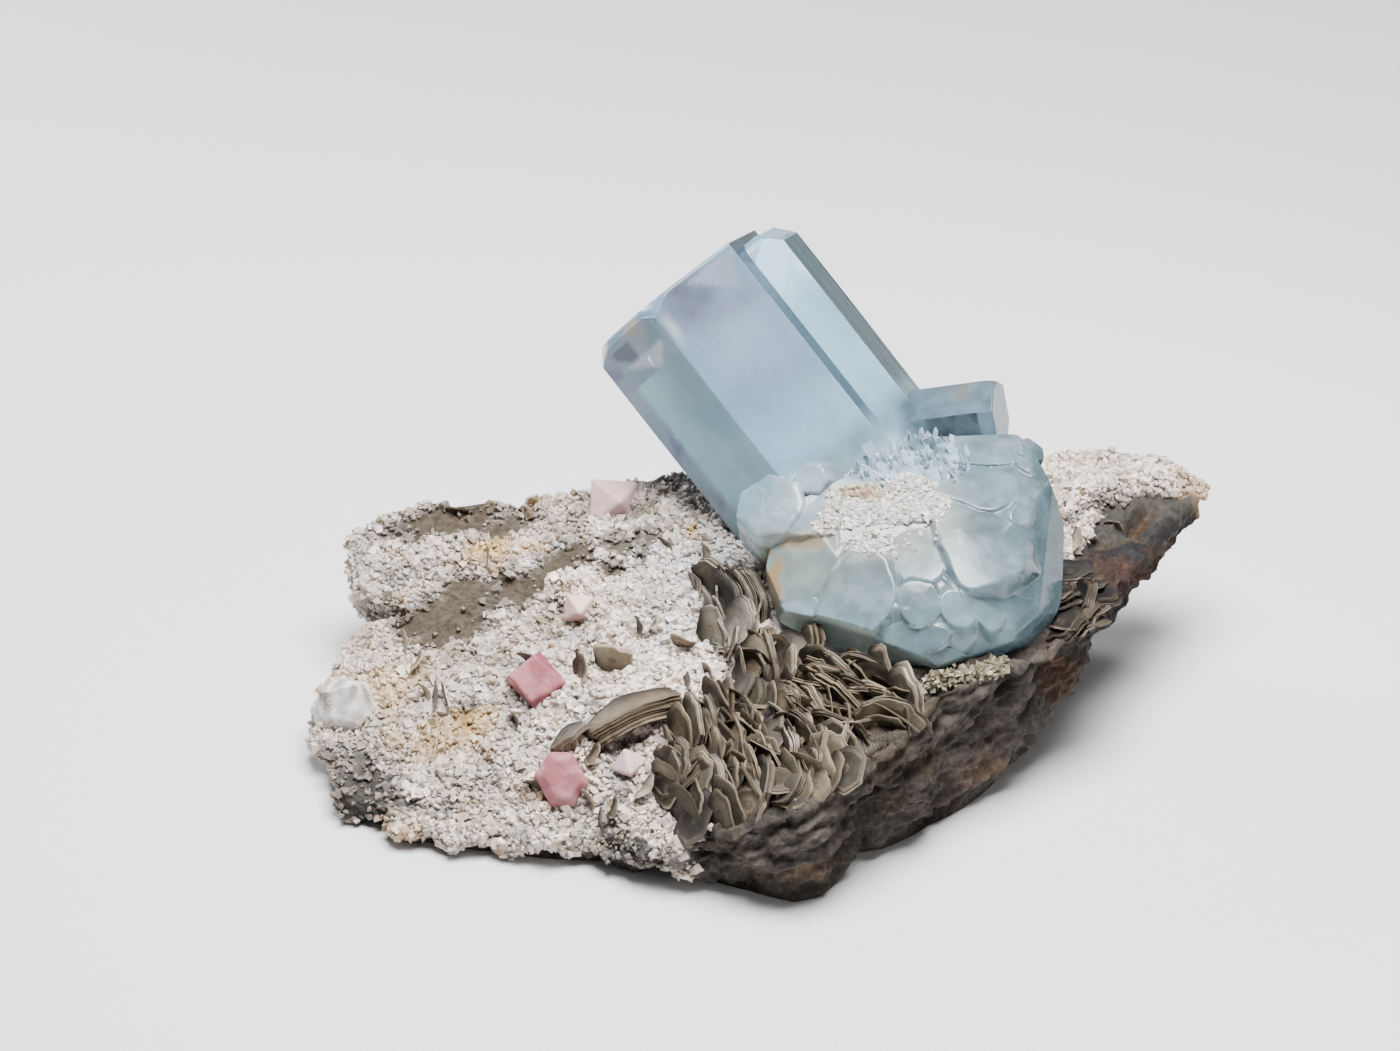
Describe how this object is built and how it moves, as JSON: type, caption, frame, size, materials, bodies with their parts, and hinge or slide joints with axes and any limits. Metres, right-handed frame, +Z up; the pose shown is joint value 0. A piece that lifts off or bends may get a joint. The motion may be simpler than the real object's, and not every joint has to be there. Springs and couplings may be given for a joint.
{
  "type": "mineral specimen",
  "caption": "Natural mineral specimen: pale blue aquamarine crystals, one leaning prism and one squat lobed crystal, on white albite matrix with brown mica books and pink crystals",
  "frame": {"origin": "centre of the bounding box in plan, at the height of the rock's flat underside", "axes": "+Z up; +X to the right along the rock's length, toward its pointed arm; +Y to the back, so the squat crystal and the mica rosette face -Y and the tall prism leans toward -X and +Y"},
  "size_m": [0.1532, 0.1088, 0.0763],
  "materials": {
    "matrix_stone": "white granular albite crust on rough grey rock with rust stains",
    "aquamarine": "glossy pale blue translucent crystal, milky inside",
    "mica": "pearly brown-grey thin sheets with bright layered edges",
    "pink_crystal": "satin pink, slightly translucent",
    "clear_crystal": "glossy colourless"
  },
  "bodies": {
    "root": {"matrix_rock": "matrix_stone", "aquamarine_crystal": "aquamarine", "mica_rosette": "mica", "mica_fan": "mica", "mica_cluster_right": "mica", "mica_long_book": "mica", "mica_small_book": "mica", "mica_curl_left": "mica", "mica_curl_right": "mica", "pink_crystal_upper": "pink_crystal", "pink_crystal_lower": "pink_crystal", "pink_crystal_back": "pink_crystal", "pink_crystal_middle": "pink_crystal", "pink_crystal_small": "pink_crystal", "clear_crystal": "clear_crystal"}
  },
  "joints": []
}
